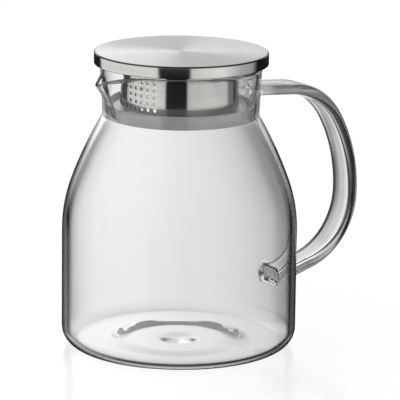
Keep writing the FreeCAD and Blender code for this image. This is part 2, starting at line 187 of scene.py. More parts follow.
def new_object(name, mesh, material):
    """Object in the scene from a mesh and its material."""
    mesh.materials.append(material)
    thing = bpy.data.objects.new(name, mesh)
    bpy.context.scene.collection.objects.link(thing)
    return thing


print("helpers ready")

# %% [markdown]
# The studio
#
# Clear glass has no colour of its own. It shows what stands round it: a white card behind makes it
# bright, and dark cards beside the white one draw its edges as black lines. Lamps alone would leave it
# grey and lost. So the pot stands inside a light tent, a great sphere that only reflections and
# refractions can see, painted with cards round the horizon, a roof above and a pale floor below.
#
# A photographer sets flags so that the glass sees soft cards and the steel sees hard ones. Here the
# paint asks whether a ray was mirrored last or came through the glass, and shows each its own cards.
# The tent is fixed to the camera, as when a pot turns on a stand before a fixed camera, so the glass is
# drawn as clearly from every side. What the pot stands on is a plain white shooting table.

# %% Cards of the light tent
WHITE = 1.0
BLACK = 0.012
CARD = 0.95
FILL = 0.3
# Angles are in degrees round the tent from straight behind the pot, positive towards the right
HORIZON = [
    (-180, BLACK), (-152, BLACK), (-147, WHITE), (-64, WHITE), (-54, BLACK), (-34, BLACK), (-27, 0.22),
    (-19, 0.48), (-12, 0.64), (-8, 0.80), (-5, 0.92), (-2, 0.89), (0, 0.79), (2, 0.67), (4, 0.50),
    (6, 0.36), (8.5, 0.25), (13, 0.20), (24, 0.16), (32, BLACK), (52, BLACK), (58, 0.22), (74, 0.26),
    (78, 0.8), (100, 0.92), (111, 1.0), (124, 0.92), (144, 0.82), (165, 0.8), (170, BLACK),
]
MIRRORED_HORIZON = [
    (-180, BLACK), (-152, BLACK), (-148, CARD), (-53, CARD), (-47, BLACK), (-5, BLACK), (-3, 0.9), (3, 0.6),
    (5, BLACK), (62, BLACK), (74, 0.45), (96, 0.55), (124, 1.05), (150, CARD), (166, 0.8), (169.5, BLACK),
]
ROOF = [
    (-180, FILL), (-152, FILL), (-148, CARD), (-60, CARD), (-52, BLACK), (-44, BLACK), (-35, 1.25),
    (-18, 1.5), (-4, 1.15), (2, 0.76), (12, 0.85), (28, 0.8), (46, BLACK), (62, BLACK), (74, 0.4),
    (96, 0.55), (124, 0.9), (150, CARD), (166, 0.6), (170, FILL), (180, FILL),
]
UNDER = [
    (-180, BLACK), (-152, BLACK), (-147, CARD), (-76, CARD), (-62, BLACK), (-54, BLACK), (-49, 0.15),
    (-44, 0.7), (-36, 0.85), (-20, 1.0), (14, 1.0), (24, 0.5), (30, 0.25), (38, BLACK), (64, BLACK),
    (78, 0.5), (96, 0.45), (106, 0.25), (124, 0.8), (152, 0.9), (165, 0.8), (170, BLACK),
]
# These angles are above the horizon: how roof and floor fade, and between which angles they begin
ROOF_FADE = [(0, 1.0), (14, 1.0), (30, 0.85), (38, 0.45), (43, 0.1), (47, 0.02), (90, 0.015)]
MIRRORED_ROOF_FADE = [(0, 1.0), (58, 1.0), (70, 0.3), (80, 0.02), (90, 0.015)]
UNDER_FADE = [(-90, 0.04), (-57, 0.06), (-47, 0.35), (-32, 0.56), (-24, 0.70)]
ROOF_FROM = (-9, 3)
MIRRORED_ROOF_FROM = (1, 8)
UNDER_FROM = (-24, -11)
MIRRORED_UNDER_FROM = (-46, -32)
NOTHING = (0.0, 0.0, 0.0, 1.0)
print("cards round the horizon:", len(HORIZON))

# %% Places on the tent
tent_paint, tree, output = new_material("tent_paint")
outwards = add_node(tree, "ShaderNodeVectorMath", operation="NORMALIZE")
tree.links.new(add_node(tree, "ShaderNodeTexCoord").outputs["Object"], outwards.inputs[0])
right, back, up = split_node(tree, outwards.outputs[0])
round_angle = math_node(tree, "ARCTAN2", right, back)
round_share = math_node(tree, "MULTIPLY_ADD", round_angle, 1 / (2 * math.pi), 0.5)
height_share = math_node(tree, "MULTIPLY_ADD", up, 0.5, 0.5)
is_mirrored = add_node(tree, "ShaderNodeLightPath").outputs["Is Reflection Ray"]


def round_ramp(stops):
    """Ramp over angles round the tent."""
    return ramp_node(tree, round_share, [((angle + 180) / 360, level) for angle, level in stops])


def height_ramp(stops):
    """Ramp over angles above the horizon."""
    places = [0.5 + 0.5 * math.sin(math.radians(angle)) for angle, level in stops]
    return ramp_node(tree, height_share, [(place, stop[1]) for place, stop in zip(places, stops)])


def by_ray(seen_through, mirrored):
    """What a ray sees if it came through the glass last, or if it was mirrored last."""
    return mix_node(tree, is_mirrored, seen_through, mirrored)


def start_ramps(spans, low, high):
    """For both kinds of ray, a ramp between two angles above the horizon."""
    return by_ray(*(height_ramp([(start, low), (stop, high)]) for start, stop in spans))


print("nodes for places on the tent:", len(tree.nodes))

# %% Paint the light tent
horizon = by_ray(round_ramp(HORIZON), round_ramp(MIRRORED_HORIZON))
roof_fade = by_ray(height_ramp(ROOF_FADE), height_ramp(MIRRORED_ROOF_FADE))
roof = mix_node(tree, 1.0, round_ramp(ROOF), roof_fade, "MULTIPLY")
under = mix_node(tree, 1.0, height_ramp(UNDER_FADE), round_ramp(UNDER), "MULTIPLY")
roof_share = start_ramps((ROOF_FROM, MIRRORED_ROOF_FROM), 0.0, 1.0)
under_share = start_ramps((UNDER_FROM, MIRRORED_UNDER_FROM), 1.0, 0.0)
upper = mix_node(tree, roof_share, horizon, roof)
whole = mix_node(tree, under_share, upper, by_ray(under, NOTHING))
glow = add_node(tree, "ShaderNodeEmission")
tree.links.new(whole, glow.inputs["Color"])
tree.links.new(glow.outputs[0], output.inputs["Surface"])
tent_paint.cycles.emission_sampling = "NONE"
print("nodes in the tent's paint:", len(tree.nodes))

# %% Hang the light tent
TENT_RADIUS = 4.0
TENT_SEGMENTS = 64
TENT_RINGS = 32

sphere = bmesh.new()
bmesh.ops.create_uvsphere(sphere, u_segments=TENT_SEGMENTS, v_segments=TENT_RINGS, radius=TENT_RADIUS)
tent_mesh = bpy.data.meshes.new("light_tent")
sphere.to_mesh(tent_mesh)
sphere.free()
tent = new_object("light_tent", tent_mesh, tent_paint)
tent.visible_camera = False
tent.visible_diffuse = False
tent.visible_shadow = False
tent.parent = camera
tent.matrix_parent_inverse = camera.matrix_world.inverted()
tent.matrix_world = Matrix.Translation((cad_low + cad_high) / 2) @ turn
print("light tent radius in metres:", TENT_RADIUS)

# %% Lay the table
TABLE_HALF = 6.0
TABLE_WHITE = (0.80, 0.80, 0.80, 1.0)
TABLE_ROUGHNESS = 0.16
TABLE_GLOW = 0.22
TABLE_POLISH = 0.5
POLISHED_TO = (0.11, 0.23)

table_white, tree, output = new_material("table_white")
from_pot = add_node(tree, "ShaderNodeVectorMath", operation="LENGTH")
tree.links.new(add_node(tree, "ShaderNodeTexCoord").outputs["Object"], from_pot.inputs[0])
# Near the pot the table is polished. Further off it is lit to an even white
polish = range_node(tree, from_pot.outputs["Value"], *POLISHED_TO, TABLE_POLISH, 0.0)
shader = add_node(tree, "ShaderNodeBsdfPrincipled")
feed_all(tree, shader, {
    "Base Color": TABLE_WHITE,
    "Roughness": TABLE_ROUGHNESS,
    "Specular IOR Level": polish,
    "Emission Color": CLEAR_WHITE,
    "Emission Strength": TABLE_GLOW,
})
tree.links.new(shader.outputs[0], output.inputs["Surface"])

table_mesh = bpy.data.meshes.new("shooting_table")
corners = [(-1, -1), (1, -1), (1, 1), (-1, 1)]
table_points = [(x * TABLE_HALF, y * TABLE_HALF, cad_low.z) for x, y in corners]
table_mesh.from_pydata(table_points, [], [(0, 1, 2, 3)])
table = new_object("shooting_table", table_mesh, table_white)
table.visible_glossy = False
table.visible_transmission = False
print("table side in metres:", 2 * TABLE_HALF)

# %% Set the world
# In the spout's tip and in the ribbon's ends a ray meets many walls before it leaves the glass
ALL_BOUNCES = 96
GLASS_BOUNCES = 64

scene = bpy.context.scene
scene.world = bpy.data.worlds.new("white_studio")
scene.world.use_nodes = True
scene.world.node_tree.nodes["Background"].inputs["Color"].default_value = CLEAR_WHITE
scene.view_settings.view_transform = "Standard"
scene.cycles.max_bounces = ALL_BOUNCES
scene.cycles.transmission_bounces = GLASS_BOUNCES
scene.cycles.glossy_bounces = GLASS_BOUNCES
print("bounces of a ray in the glass:", GLASS_BOUNCES)

# %% [markdown]
# Clear glass
#
# Borosilicate glass is almost colourless. It bends light by its index of 1.47, and where a ray runs a
# long way inside it, as at the spout's tip, it turns faintly green. Blown glass is never quite even:
# the wall has shallow waves left by the blowing. The waves are a soft bump, and the green is an
# absorbing volume, so it deepens with the thickness. A filter on the lens takes most of the glare off
# the front, and the shader's specular tint does the same here.
#
# A wall seen edge on shows a dark line, drawn by the tent's dark cards. The cards alone draw that
# line, but it comes and goes with the curve of the wall, so painted shade helps it: where the wall
# turns away, a Layer Weight node darkens the glass's colour. The heel's edge and the ribbon's rounded
# edges are darkened with painted shade as well.

# %% Values of the glass
GLASS_INDEX = 1.47
GLASS_TINT = (0.86, 0.97, 0.92, 1.0)
GLASS_TINT_DENSITY = 2.5
GLASS_GLARE = (0.3, 0.3, 0.3, 1.0)
WAVE_SCALE = 35.0
WAVE_DEPTH = 0.04
# Painted shade: brightness of the glass's colour against how far a wall turns away from the eye
WALL_PAINTED_SHADE = [(0.0, 1.0), (0.66, 1.0), (0.74, 0.45), (0.80, 0.10), (0.86, 0.005), (1.0, 0.0)]
# The painted dark edge is on the shell's wall: below the neck, inside the ribbon, and not on the flat floor
PAINTED_EDGE_BELOW = (0.14, 0.12)
PAINTED_EDGE_WITHIN = (0.0712, 0.0702)
PAINTED_EDGE_OFF_FLAT = (0.99, 0.955)
# The heel turns quickly, so its painted dark edge starts sooner
HEEL_SHADE_BELOW = (0.011, 0.0055)
HEEL_SHADE_LEAN = (0.0, -0.3)
HEEL_SHADE_SOONER = 0.12
# Painted shade: brightness of the ribbon's colour against how far its surface faces sideways, and where the
# ribbon begins
RIBBON_PAINTED_SHADE = [(0.0, 1.0), (0.55, 1.0), (0.72, 0.22), (0.92, 0.24), (1.0, 0.50)]
RIBBON_SHADE_FROM = (0.056, 0.062)
print("glass index:", GLASS_INDEX)

# %% Make the glass
clear_glass, tree, output = new_material("clear_glass")
surface = add_node(tree, "ShaderNodeTexCoord")
x, z = split_node(tree, surface.outputs["Object"])[::2]
sideways, upwards = split_node(tree, surface.outputs["Normal"])[1:]
flatness = math_node(tree, "ABSOLUTE", upwards)

# Painted shade: the glass's colour goes dark where a wall turns away, at the heel and on the ribbon's edges
below_neck = range_node(tree, z, *PAINTED_EDGE_BELOW)
off_flat = range_node(tree, flatness, *PAINTED_EDGE_OFF_FLAT)
off_ribbon = range_node(tree, x, *PAINTED_EDGE_WITHIN)
shade_on_wall = math_node(tree, "MULTIPLY", math_node(tree, "MULTIPLY", below_neck, off_flat), off_ribbon)
at_heel = range_node(tree, z, *HEEL_SHADE_BELOW, high=HEEL_SHADE_SOONER)
sooner = math_node(tree, "MULTIPLY", at_heel, range_node(tree, upwards, *HEEL_SHADE_LEAN))
turned_away = add_node(tree, "ShaderNodeLayerWeight").outputs["Facing"]
wall_edge_shade = ramp_node(tree, math_node(tree, "ADD", turned_away, sooner), WALL_PAINTED_SHADE)
wall_shaded_colour = mix_node(tree, shade_on_wall, CLEAR_WHITE, wall_edge_shade)

shade_on_ribbon = range_node(tree, x, *RIBBON_SHADE_FROM)
ribbon_edge_shade = ramp_node(tree, math_node(tree, "ABSOLUTE", sideways), RIBBON_PAINTED_SHADE)
painted_glass_shade = mix_node(tree, shade_on_ribbon, wall_shaded_colour, ribbon_edge_shade, "MULTIPLY")

wave = add_node(tree, "ShaderNodeTexNoise")
feed_all(tree, wave, {"Vector": surface.outputs["Object"], "Scale": WAVE_SCALE, "Detail": 0.0})
shader = add_node(tree, "ShaderNodeBsdfPrincipled")
feed_all(tree, shader, {
    "Base Color": painted_glass_shade,
    "Roughness": 0.0,
    "IOR": GLASS_INDEX,
    "Specular Tint": GLASS_GLARE,
    "Transmission Weight": 1.0,
    "Normal": bump_node(tree, wave.outputs["Fac"], 1.0, WAVE_DEPTH),
})
tint = add_node(tree, "ShaderNodeVolumeAbsorption")
feed_all(tree, tint, {"Color": GLASS_TINT, "Density": GLASS_TINT_DENSITY})
tree.links.new(shader.outputs[0], output.inputs["Surface"])
tree.links.new(tint.outputs[0], output.inputs["Volume"])
print("nodes in the glass:", len(tree.nodes))

# %% [markdown]
# The blown shell
#
# A glass blower turns the hot bubble in a mould, so the body is a turned form: a flat foot, a rounded
# heel, an upright side, a domed shoulder and a short neck. The spout is then pulled out of the neck's
# rim with a rod. A lathe tool could make the first part and a boolean the second, but a boolean leaves
# creases that glass never has. So the shell is one grid: rows run up the outside, over the rim and down
# the inside, and columns run round the pot. In the neck each column's radius is the larger of the
# neck's and the spout's, blended softly where the two meet.

# %% Sizes of the shell, in millimetres
BODY_RADIUS = 70.0
WALL = 3.0
HEEL_RADIUS = 11.0
RECESS_DEPTH = 1.4
RECESS_START = 27.0
RECESS_END = 44.0
MARK_DROP = 1.05
MARK_RADIUS = 13.0
SIDE_TOP = 70.0
SHOULDER_RADIUS = 88.0
SHOULDER_BREAK = 100.0
NECK_BOTTOM = 139.4
NECK_LENGTH = 29.3
NECK_RADIUS = 46.25
RIM_RADIUS = 47.8
RIM_HEIGHT = NECK_BOTTOM + NECK_LENGTH
NECK_TAPER = (RIM_RADIUS - NECK_RADIUS) / NECK_LENGTH
NECK_BLEND = 2.5
# The inside of the shoulder meets the neck lower than the outside, by this share of the wall
INNER_FOOT_SHARE = 0.25
SPOUT_REACH = 60.0
SPOUT_HALF_ANGLE = math.radians(38.0)
SPOUT_NOSE = 4.0
SPOUT_WALL = 2.4
SPOUT_KEEL_ANGLE = math.radians(53.0)
SPOUT_BLEND = 6.0
LIP_START = 36.0
LIP_RADIUS = 56.0
LIP_LONGEST_RUN = 0.9 * LIP_RADIUS
print("rim height:", RIM_HEIGHT)

# %% Lines, arcs and soft corners
def arc_points(centre, radius, start, stop, steps):
    """Points on an arc from one angle to another, first one left out."""
    angles = np.linspace(math.radians(start), math.radians(stop), steps + 1)[1:]
    return [(centre[0] + radius * math.cos(a), centre[1] + radius * math.sin(a)) for a in angles]


def line_points(start, stop, steps):
    """Points on a straight line, first one left out."""
    start, stop = np.array(start), np.array(stop)
    return [tuple(start + (stop - start) * k / steps) for k in range(1, steps + 1)]


def bend_points(start, corner, stop, steps):
    """A curve that leaves towards a corner and arrives from it, first point left out."""
    start, corner, stop = (np.array(p) for p in (start, corner, stop))
    shares = np.linspace(0, 1, steps + 1)[1:]
    return [tuple((1 - t) ** 2 * start + 2 * t * (1 - t) * corner + t**2 * stop) for t in shares]


quarter = arc_points((0.0, 0.0), 1.0, 0, 90, 2)
print("a quarter circle in two steps:", [tuple(round(c, 3) for c in point) for point in quarter])

# %% Outline of the turned part
# Rings of the base lie closer where the pipe's mark is
BASE_RINGS = np.concatenate([np.arange(1, 16, 1.5), np.arange(17, RECESS_END, 2), [RECESS_END]])
FOOT_STEPS = 3
HEEL_STEPS = 14
SIDE_STEPS = 8
LOWER_SHOULDER_STEPS = 8
UPPER_SHOULDER_STEPS = 24


def base_height(radius, inset):
    """Height of the base: flat inside, and below a shallow recess with the blowpipe's mark."""
    if inset > 0:
        return inset
    share = min(max((radius - RECESS_START) / (RECESS_END - RECESS_START), 0.0), 1.0)
    recess = RECESS_DEPTH * (1 + math.cos(math.pi * share)) / 2
    mark = MARK_DROP * max(1 - (radius / MARK_RADIUS) ** 2, 0.0) ** 2
    return recess - mark


def neck_foot(inset):
    """Height where the neck begins, on a wall that lies inset from the outside."""
    return NECK_BOTTOM - INNER_FOOT_SHARE * inset


def upper_shoulder(start, stop, angle):
    """Arc that leaves a lower arc smoothly, at its angle, and ends at the neck."""
    start, stop = np.array(start), np.array(stop)
    inward = -np.array((math.cos(math.radians(angle)), math.sin(math.radians(angle))))
    chord = stop - start
    radius = chord.dot(chord) / (2 * chord.dot(inward))
    middle = start + inward * radius
    first, last = (math.degrees(math.atan2(*(p - middle)[::-1])) for p in (start, stop))
    return arc_points(middle, radius, first, last, UPPER_SHOULDER_STEPS)


def shell_outline(inset):
    """Radii and heights from the middle of the base to the foot of the neck."""
    heel_centre = (BODY_RADIUS - HEEL_RADIUS, HEEL_RADIUS)
    shoulder_centre = (BODY_RADIUS - SHOULDER_RADIUS, SIDE_TOP)
    break_angle = math.degrees(math.asin((SHOULDER_BREAK - SIDE_TOP) / SHOULDER_RADIUS))
    points = [(0.0, base_height(0.0, inset))]
    points += [(radius, base_height(radius, inset)) for radius in BASE_RINGS]
    points += line_points(points[-1], (heel_centre[0], inset), FOOT_STEPS)
    points += arc_points(heel_centre, HEEL_RADIUS - inset, -90, 0, HEEL_STEPS)
    points += line_points(points[-1], (BODY_RADIUS - inset, SIDE_TOP), SIDE_STEPS)
    points += arc_points(shoulder_centre, SHOULDER_RADIUS - inset, 0, break_angle, LOWER_SHOULDER_STEPS)
    points += upper_shoulder(points[-1], (NECK_RADIUS - inset, neck_foot(inset)), break_angle)
    return points


outside = shell_outline(0.0)
inside = shell_outline(WALL)
print("points on the outside and the inside:", len(outside), len(inside))

# %% Radius of the neck and the spout
LIP_ROUNDS = 30


def lip_fall(reach):
    """How far the rim has dropped at a distance from the axis towards the spout."""
    run = np.clip(reach - LIP_START, 0, LIP_LONGEST_RUN)
    return LIP_RADIUS - np.sqrt(LIP_RADIUS**2 - run**2)


def spout_radius(angle, height, nose):
    """Distance from the axis to a V with a round nose, at an angle from the spout's middle."""
    angle = np.abs(angle)
    setback = (RIM_HEIGHT - lip_fall(SPOUT_REACH) - height) / math.tan(SPOUT_KEEL_ANGLE)
    centre = SPOUT_REACH - SPOUT_NOSE - setback
    apex = centre + nose / math.sin(SPOUT_HALF_ANGLE)
    flank_angle = np.minimum(angle + SPOUT_HALF_ANGLE, math.pi / 2)
    flank = apex * math.sin(SPOUT_HALF_ANGLE) / np.sin(flank_angle)
    nose_side = nose * math.cos(SPOUT_HALF_ANGLE)
    nose_reach = centre + nose * math.sin(SPOUT_HALF_ANGLE)
    across = np.sqrt(np.maximum(nose**2 - (centre * np.sin(angle)) ** 2, 0))
    on_nose = angle < np.arctan2(nose_side, nose_reach)
    return np.where(on_nose, centre * np.cos(angle) + across, flank)


def soft_larger(first, second, blend):
    """The larger of two numbers, rounded over where they come near each other."""
    near = np.maximum(blend - np.abs(first - second), 0) / blend
    return np.maximum(first, second) + near**2 * blend / 4


def neck_radius(angle, height, inset):
    """Radius of the neck's wall with its spout, at an angle from the spout's middle."""
    plain = NECK_RADIUS - inset + NECK_TAPER * (height - NECK_BOTTOM)
    nose = SPOUT_NOSE - (SPOUT_WALL if inset else 0.0)
    return soft_larger(plain, spout_radius(angle, height, nose), SPOUT_BLEND)


def rim_height(angle, inset):
    """Height of the rim at an angle, found in rounds: the lip falls with its own reach."""
    height = np.full_like(angle, RIM_HEIGHT)
    for _ in range(LIP_ROUNDS):
        height = RIM_HEIGHT - lip_fall(neck_radius(angle, height, inset) * np.cos(angle))
    return height


tip_height = rim_height(np.zeros(1), 0.0)
print("spout's tip from the axis:", round(float(neck_radius(np.zeros(1), tip_height, 0.0)[0]), 2))

# %% Rows of the shell
COLUMNS = 288
NECK_ROWS = 22
RIM_ROWS = 8
CORNER_STEPS = 6
SPOUT_CROWDING = 0.72
RIM_ROUNDING = WALL / 2

# Columns crowd together towards the spout, where the nose is small
even = np.arange(COLUMNS) / COLUMNS * 2 * math.pi
from_spout = even - SPOUT_CROWDING * np.sin(even)
from_spout = np.where(from_spout > math.pi, from_spout - 2 * math.pi, from_spout)


def turned_rows(points):
    """Rows of radius and height for each column, where the shell is round."""
    return [(np.full(COLUMNS, radius), np.full(COLUMNS, height)) for radius, height in points]


def corner_rows(points, inset):
    """Rows of the soft corner between the shoulder and the neck."""
    corner = points[-1]
    rise = neck_foot(inset) + NECK_BLEND - NECK_BOTTOM
    stop = (NECK_RADIUS - inset + NECK_TAPER * rise, corner[1] + NECK_BLEND)
    return turned_rows(bend_points(points[-2], corner, stop, CORNER_STEPS))


def neck_rows(inset):
    """Rows of the neck and its spout, up to just under the rim."""
    bottom = neck_foot(inset) + NECK_BLEND
    top = rim_height(from_spout, inset) - RIM_ROUNDING
    heights = [bottom + (top - bottom) * k / NECK_ROWS for k in range(NECK_ROWS + 1)]
    return [(neck_radius(from_spout, height, inset), height) for height in heights]


def rim_rows(outer, inner):
    """Rows over the fire-polished rim, from the outer wall's last row to the inner wall's."""
    (outer_radius, outer_height), (inner_radius, inner_height) = outer, inner
    bulge = np.minimum(np.abs(outer_radius - inner_radius) / 2, RIM_ROUNDING)
    rows = []
    for k in range(1, RIM_ROWS):
        swing = math.pi * k / RIM_ROWS
        share = (1 - math.cos(swing)) / 2
        height = outer_height + (inner_height - outer_height) * share + bulge * math.sin(swing)
        rows.append((outer_radius + (inner_radius - outer_radius) * share, height))
    return rows


outer_neck = neck_rows(0.0)
inner_neck = neck_rows(WALL)
rows = turned_rows(outside[:-1]) + corner_rows(outside, 0.0) + outer_neck[1:]
rows += rim_rows(outer_neck[-1], inner_neck[-1])
rows += inner_neck[:0:-1] + corner_rows(inside, WALL)[::-1] + turned_rows(inside[:-1])[::-1]
print("rows of the shell:", len(rows))

# %% Build the shell
def grid_faces(row_count, column_count, first):
    """Quads between rows of a closed grid whose vertices start at a number."""
    faces = []
    for row in range(row_count - 1):
        low = first + row * column_count
        high = low + column_count
        for column in range(column_count):
            after = (column + 1) % column_count
            faces.append((low + column, low + after, high + after, high + column))
    return faces


def smooth_mesh(name, work):
    """Smooth mesh from a bmesh, with its faces pointing outwards."""
    bmesh.ops.recalc_face_normals(work, faces=work.faces)
    mesh = bpy.data.meshes.new(name)
    work.to_mesh(mesh)
    work.free()
    mesh.shade_smooth()
    return mesh


def new_piece(name, vertices, faces, material):
    """Smooth piece from points in millimetres and faces."""
    draft = bpy.data.meshes.new(name + "_draft")
    draft.from_pydata([(x * MM, y * MM, z * MM) for x, y, z in vertices], [], faces)
    work = bmesh.new()
    work.from_mesh(draft)
    bpy.data.meshes.remove(draft)
    return new_object(name, smooth_mesh(name, work), material)


# The first and last rows are single points on the axis
vertices = [(0.0, 0.0, rows[0][1][0])]
for radius, height in rows[1:-1]:
    vertices += list(zip(-radius * np.cos(from_spout), -radius * np.sin(from_spout), height))
vertices.append((0.0, 0.0, rows[-1][1][0]))
faces = grid_faces(len(rows) - 2, COLUMNS, 1)
last_row = 1 + (len(rows) - 3) * COLUMNS
for column in range(COLUMNS):
    after = (column + 1) % COLUMNS
    faces.append((0, 1 + after, 1 + column))
    faces.append((len(vertices) - 1, last_row + column, last_row + after))
blown_glass = new_piece("blown_glass", vertices, faces, clear_glass)
print("faces in the shell:", len(faces))

# %% [markdown]
# The handle
#
# The handle is a flat ribbon of hot glass, laid on the neck, bent over and pressed on the belly. It is
# swept along a line of straight runs and tangent bends, with a section that is flat in the middle and
# round at its edges. Near both ends the section swells, as soft glass does when it is pressed on. Then
# shell and ribbon are joined into one mesh, because a ray must meet no skin between them: fused glass
# has none.

# %% Sizes of the handle, in millimetres and degrees
RIBBON_WIDTH = 20.0
RIBBON_THICKNESS = 7.0
HANDLE_BELOW_RIM = 18.2
TOP_FALL = 4.4
TOP_RUN = 31.49
BENDS = [(41.8, 54.2), (91.0, 32.7), (43.2, 72.0)]
WELD_SWELL = 1.6
WELD_LENGTH = 6.0
RING_STEP = 1.6
EDGE_POINTS = 13
FLAT_SHARES = (0.6, 0.2, -0.2, -0.6)
print("radii and angles of the bends:", BENDS)

# %% The ribbon's line and section
def handle_line():
    """Points and headings along the middle of the ribbon, from the neck to the belly."""
    neck_here = RIM_RADIUS - NECK_TAPER * HANDLE_BELOW_RIM
    spot = np.array((neck_here - WALL / 2, RIM_HEIGHT - HANDLE_BELOW_RIM))
    heading = -math.radians(TOP_FALL)
    points, headings = [spot], [heading]

    def run_straight(length):
        nonlocal spot
        steps = max(2, round(length / RING_STEP))
        step = np.array((math.cos(heading), math.sin(heading))) * length / steps
        for _ in range(steps):
            spot = spot + step
            points.append(spot)
            headings.append(heading)

    run_straight(TOP_RUN)
    for radius, bend_angle in BENDS:
        steps = max(4, round(math.radians(bend_angle) * radius / RING_STEP))
        centre = spot + radius * np.array((math.sin(heading), -math.cos(heading)))
        for _ in range(steps):
            heading -= math.radians(bend_angle) / steps
            spot = centre - radius * np.array((math.sin(heading), -math.cos(heading)))
            points.append(spot)
            headings.append(heading)
    run_straight((BODY_RADIUS - WALL / 2 - spot[0]) / math.cos(heading))
    return points, headings


def ribbon_section(swell):
    """Closed outline across the ribbon: offsets along its width and its thickness."""
    half = (RIBBON_THICKNESS + swell) / 2
    flat = (RIBBON_WIDTH + swell) / 2 - half
    turns = np.linspace(-math.pi / 2, math.pi / 2, EDGE_POINTS)
    near_edge = [(flat + half * math.cos(t), half * math.sin(t)) for t in turns]
    painted_top_light = [(flat * share, half) for share in FLAT_SHARES]
    half_way = near_edge + painted_top_light
    return half_way + [(-across, -up) for across, up in half_way]


points, headings = handle_line()
steps = [np.linalg.norm(after - here) for here, after in zip(points, points[1:])]
lengths = np.concatenate([[0], np.cumsum(steps)])
print("length of the ribbon in millimetres:", round(lengths[-1], 1))

# %% Sweep the ribbon
rings = []
for spot, heading, along in zip(points, headings, lengths):
    from_weld = min(along, lengths[-1] - along)
    swell = 2 * WELD_SWELL * max(1 - from_weld / WELD_LENGTH, 0) ** 2
    up = np.array((-math.sin(heading), math.cos(heading)))
    rings.append([(spot[0] + n * up[0], y, spot[1] + n * up[1]) for y, n in ribbon_section(swell)])
# Each end ring follows the round wall, halfway into the glass
for ring in (rings[0], rings[-1]):
    middle = np.mean([x for x, y, z in ring])
    ring[:] = [(x - middle + math.sqrt(middle**2 - y**2), y, z) for x, y, z in ring]

section_size = len(rings[0])
vertices = [point for ring in rings for point in ring]
faces = grid_faces(len(rings), section_size, 0)
faces.append(tuple(range(section_size)))
faces.append(tuple(range(len(vertices) - section_size, len(vertices))))
ribbon = new_piece("glass_ribbon", vertices, faces, clear_glass)
print("rings of the ribbon:", len(rings))

# %% Fuse shell and ribbon
fuse = blown_glass.modifiers.new("fuse", "BOOLEAN")
fuse.operation = "UNION"
fuse.solver = "EXACT"
fuse.object = ribbon
evaluated = blown_glass.evaluated_get(bpy.context.evaluated_depsgraph_get())
fused_mesh = bpy.data.meshes.new_from_object(evaluated)
blown_glass.modifiers.clear()
blown_glass.data = fused_mesh
bpy.data.objects.remove(ribbon)
fused_mesh.shade_smooth()
blown_glass.visible_shadow = False
blown_glass.visible_diffuse = False
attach(blown_glass, "vessel")
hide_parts("glass_body", "glass_handle")
print("faces in the fused glass:", len(fused_mesh.polygons))

# %% [markdown]
# Brushed steel
#
# The lid is stainless sheet, spun and brushed on a lathe, so its scratches run in circles round the
# pot's axis. Scratches throw light sideways: along them a reflection stays sharp, across them it
# smears. The shader has a setting for that. On top of it come fine lines in the roughness and the
# height, and broader streaks in the colour, from a noise that is stretched round the axis. The rolled
# edges are darker by painted shade in the colour, which stands in for the dark they would mirror. The
# lines serve two finishes and the streaks as well, so they are a node group with one input, their fineness.

# %% A node group for lathe brushing
LINE_FINENESS = 2500.0
LINE_DETAIL = 3.0


def brushing_group():
    """Fine rings round the Z axis, as a mask from 0 to 1."""
    group = bpy.data.node_groups.new("lathe_brushing", "ShaderNodeTree")
    fineness = group.interface.new_socket("Fineness", in_out="INPUT", socket_type="NodeSocketFloat")
    fineness.default_value = LINE_FINENESS
    group.interface.new_socket("Lines", in_out="OUTPUT", socket_type="NodeSocketFloat")
    per_metre = add_node(group, "NodeGroupInput").outputs["Fineness"]
    leave = add_node(group, "NodeGroupOutput")
    x, y, z = split_node(group, add_node(group, "ShaderNodeTexCoord").outputs["Object"])
    squares = [math_node(group, "MULTIPLY", side, side) for side in (x, y)]
    from_axis = math_node(group, "SQRT", math_node(group, "ADD", *squares))
    stretched = add_node(group, "ShaderNodeCombineXYZ")
    feed_all(group, stretched, {
        "X": math_node(group, "MULTIPLY", from_axis, per_metre),
        "Y": math_node(group, "MULTIPLY", z, per_metre),
        "Z": math_node(group, "SINE", math_node(group, "ARCTAN2", y, x)),
    })
    noise = add_node(group, "ShaderNodeTexNoise")
    feed_all(group, noise, {"Vector": stretched.outputs[0], "Scale": 1.0, "Detail": LINE_DETAIL})
    group.links.new(noise.outputs["Fac"], leave.inputs["Lines"])
    return group


lathe_brushing = brushing_group()
print("sockets of the brushing group:", [item.name for item in lathe_brushing.interface.items_tree])

# %% Make the steel
STEEL_COLOUR = (0.68, 0.669, 0.65, 1.0)
# Painted shade: brightness of the steel's colour against how far a face looks up or down: upright, rolled
# edge, flat
EDGE_PAINTED_SHADE = [(0.0, 1.0), (0.15, 1.0), (0.30, 0.12), (0.93, 0.12), (0.985, 1.0)]
STREAK_FINENESS = 900.0
STREAK_SHADE = [(0.32, 0.90), (0.62, 1.0)]
BRUSH_ANISOTROPY = 1.0
BRUSH_TURN = 0.25
BRUSH_DEPTH = 0.02
# Lines change the roughness by a share of it, from a least share
LINE_SHARE = 0.4
LEAST_SHARE = 0.8


def brushed_lines(tree, fineness):
    """Lines of the brushing group at a fineness."""
    lines = add_node(tree, "ShaderNodeGroup")
    lines.node_tree = lathe_brushing
    lines.inputs["Fineness"].default_value = fineness
    return lines.outputs["Lines"]


